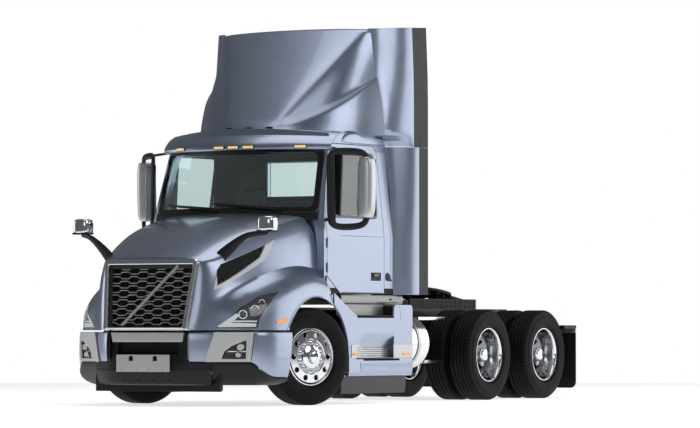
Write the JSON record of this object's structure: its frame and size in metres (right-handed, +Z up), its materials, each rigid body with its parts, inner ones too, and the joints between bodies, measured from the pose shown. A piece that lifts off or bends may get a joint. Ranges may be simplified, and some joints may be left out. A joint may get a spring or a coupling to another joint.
{
  "type": "semi truck tractor unit",
  "caption": "Day-cab conventional tractor with tilting hood, tall roof fairing, side extenders, tandem dual drive axles and a fifth wheel.",
  "frame": {"origin": "on the ground, midway along and across the vehicle", "axes": "+X to the vehicle's left, -Y to the front, +Z up"},
  "size_m": [2.89, 7.32, 4.03],
  "materials": {
    "paint": "metallic blue-grey clearcoat",
    "chassis_black": "satin black paint",
    "tyre": "matt tread and sidewall",
    "polished": "polished",
    "chrome": "bright",
    "silver": "satin silver paint",
    "dark_plastic": "moulded, lightly grained",
    "grey_rubber": "satin",
    "glass": "clear, faint green",
    "lamp": "clear lens",
    "red_lamp": "red lens",
    "trim": "woven seat cloth",
    "interior": "grained",
    "cast": "painted casting"
  },
  "bodies": {
    "chassis": {"bumper": "paint", "cab_floor": "interior", "cab_front": "paint", "cab_glass": "glass", "cab_rear_wall": "paint", "cab_roof": "paint", "cab_sides": "paint", "chassis_fairings": "paint", "dashboard": "interior", "driveline": "cast", "engine": "cast", "extender_edges": "grey_rubber", "fifth_wheel_base": "cast", "fog_panels": "silver", "frame_cross_pieces": "chassis_black", "frame_rails": "chassis_black", "front_axle": "cast", "fuel_tanks": "polished", "lower_skirts": "dark_plastic", "mud_flaps": "dark_plastic", "plate_panel": "silver", "radiator": "chassis_black", "roof_fairing": "paint", "seats": "trim", "side_boxes": "chassis_black", "side_extenders": "paint", "steering_wheel": "interior", "steps": "polished", "suspension": "chassis_black", "tail_lamps": "red_lamp", "visor": "paint"},
    "hood": {"hood": "paint", "grille": "chrome", "headlamps": "lamp", "hood_vents": "dark_plastic", "hood_mirrors": "dark_plastic"},
    "door_left": {"door_left": "paint", "door_glass_left": "glass", "mirror_left": "chrome"},
    "door_right": {"door_right": "paint", "door_glass_right": "glass", "mirror_right": "chrome"},
    "knuckle_left": {"knuckle_left": "cast"},
    "knuckle_right": {"knuckle_right": "cast"},
    "tie_rod": {"tie_rod": "chassis_black"},
    "front_wheel_left": {"front_tyre_left": "tyre", "front_rim_left": "polished"},
    "front_wheel_right": {"front_tyre_right": "tyre", "front_rim_right": "polished"},
    "drive_wheels_front_left": {"front_drive_tyres_left": "tyre", "front_drive_rims_left": "polished"},
    "drive_wheels_front_right": {"front_drive_tyres_right": "tyre", "front_drive_rims_right": "polished"},
    "drive_wheels_rear_left": {"rear_drive_tyres_left": "tyre", "rear_drive_rims_left": "polished"},
    "drive_wheels_rear_right": {"rear_drive_tyres_right": "tyre", "rear_drive_rims_right": "polished"},
    "fifth_wheel_plate": {"fifth_wheel_plate": "cast"}
  },
  "joints": [
    {"name": "hood_tilt", "type": "hinge", "parent": "chassis", "child": "hood", "pos_m": [0, -3.54, 0.745], "axis": [1, 0, 0], "range_deg": [0, 60]},
    {"name": "door_left_hinge", "type": "hinge", "parent": "chassis", "child": "door_left", "pos_m": [1.085, -1.795, 1.5], "axis": [0, 0, -1], "range_deg": [0, 65]},
    {"name": "door_right_hinge", "type": "hinge", "parent": "chassis", "child": "door_right", "pos_m": [-1.085, -1.795, 1.5], "axis": [0, 0, 1], "range_deg": [0, 65]},
    {"name": "steer_left", "type": "hinge", "parent": "chassis", "child": "knuckle_left", "pos_m": [0.93, -2.14, 0.503], "axis": [0, 0, 1], "range_deg": [-20, 59]},
    {"name": "steer_right", "type": "hinge", "parent": "chassis", "child": "knuckle_right", "pos_m": [-0.93, -2.14, 0.503], "axis": [0, 0, 1], "range_deg": [-20, 59]},
    {"name": "tie_rod_pivot", "type": "hinge", "parent": "knuckle_left", "child": "tie_rod", "pos_m": [0.9842, -1.98946, 0.455], "axis": [0, 0, 1], "range_deg": [-59, 20]},
    {"name": "front_wheel_left_spin", "type": "hinge", "parent": "knuckle_left", "child": "front_wheel_left", "pos_m": [0.93, -2.14, 0.503], "axis": [0.9409, -0.3387, 0], "continuous": true},
    {"name": "front_wheel_right_spin", "type": "hinge", "parent": "knuckle_right", "child": "front_wheel_right", "pos_m": [-0.93, -2.14, 0.503], "axis": [0.9409, -0.3387, 0], "continuous": true},
    {"name": "drive_front_left_spin", "type": "hinge", "parent": "chassis", "child": "drive_wheels_front_left", "pos_m": [1.045, 1.603, 0.503], "axis": [1, 0, 0], "continuous": true},
    {"name": "drive_front_right_spin", "type": "hinge", "parent": "chassis", "child": "drive_wheels_front_right", "pos_m": [-1.045, 1.603, 0.503], "axis": [1, 0, 0], "continuous": true},
    {"name": "drive_rear_left_spin", "type": "hinge", "parent": "chassis", "child": "drive_wheels_rear_left", "pos_m": [1.045, 2.925, 0.503], "axis": [1, 0, 0], "continuous": true},
    {"name": "drive_rear_right_spin", "type": "hinge", "parent": "chassis", "child": "drive_wheels_rear_right", "pos_m": [-1.045, 2.925, 0.503], "axis": [1, 0, 0], "continuous": true},
    {"name": "fifth_wheel_tilt", "type": "hinge", "parent": "chassis", "child": "fifth_wheel_plate", "pos_m": [0, 1.85, 1.135], "axis": [1, 0, 0], "range_deg": [0, 18]}
  ],
  "couplings": [
    {"joint": "steer_right", "follows": "steer_left", "ratio": 1},
    {"joint": "tie_rod_pivot", "follows": "steer_left", "ratio": -1}
  ]
}
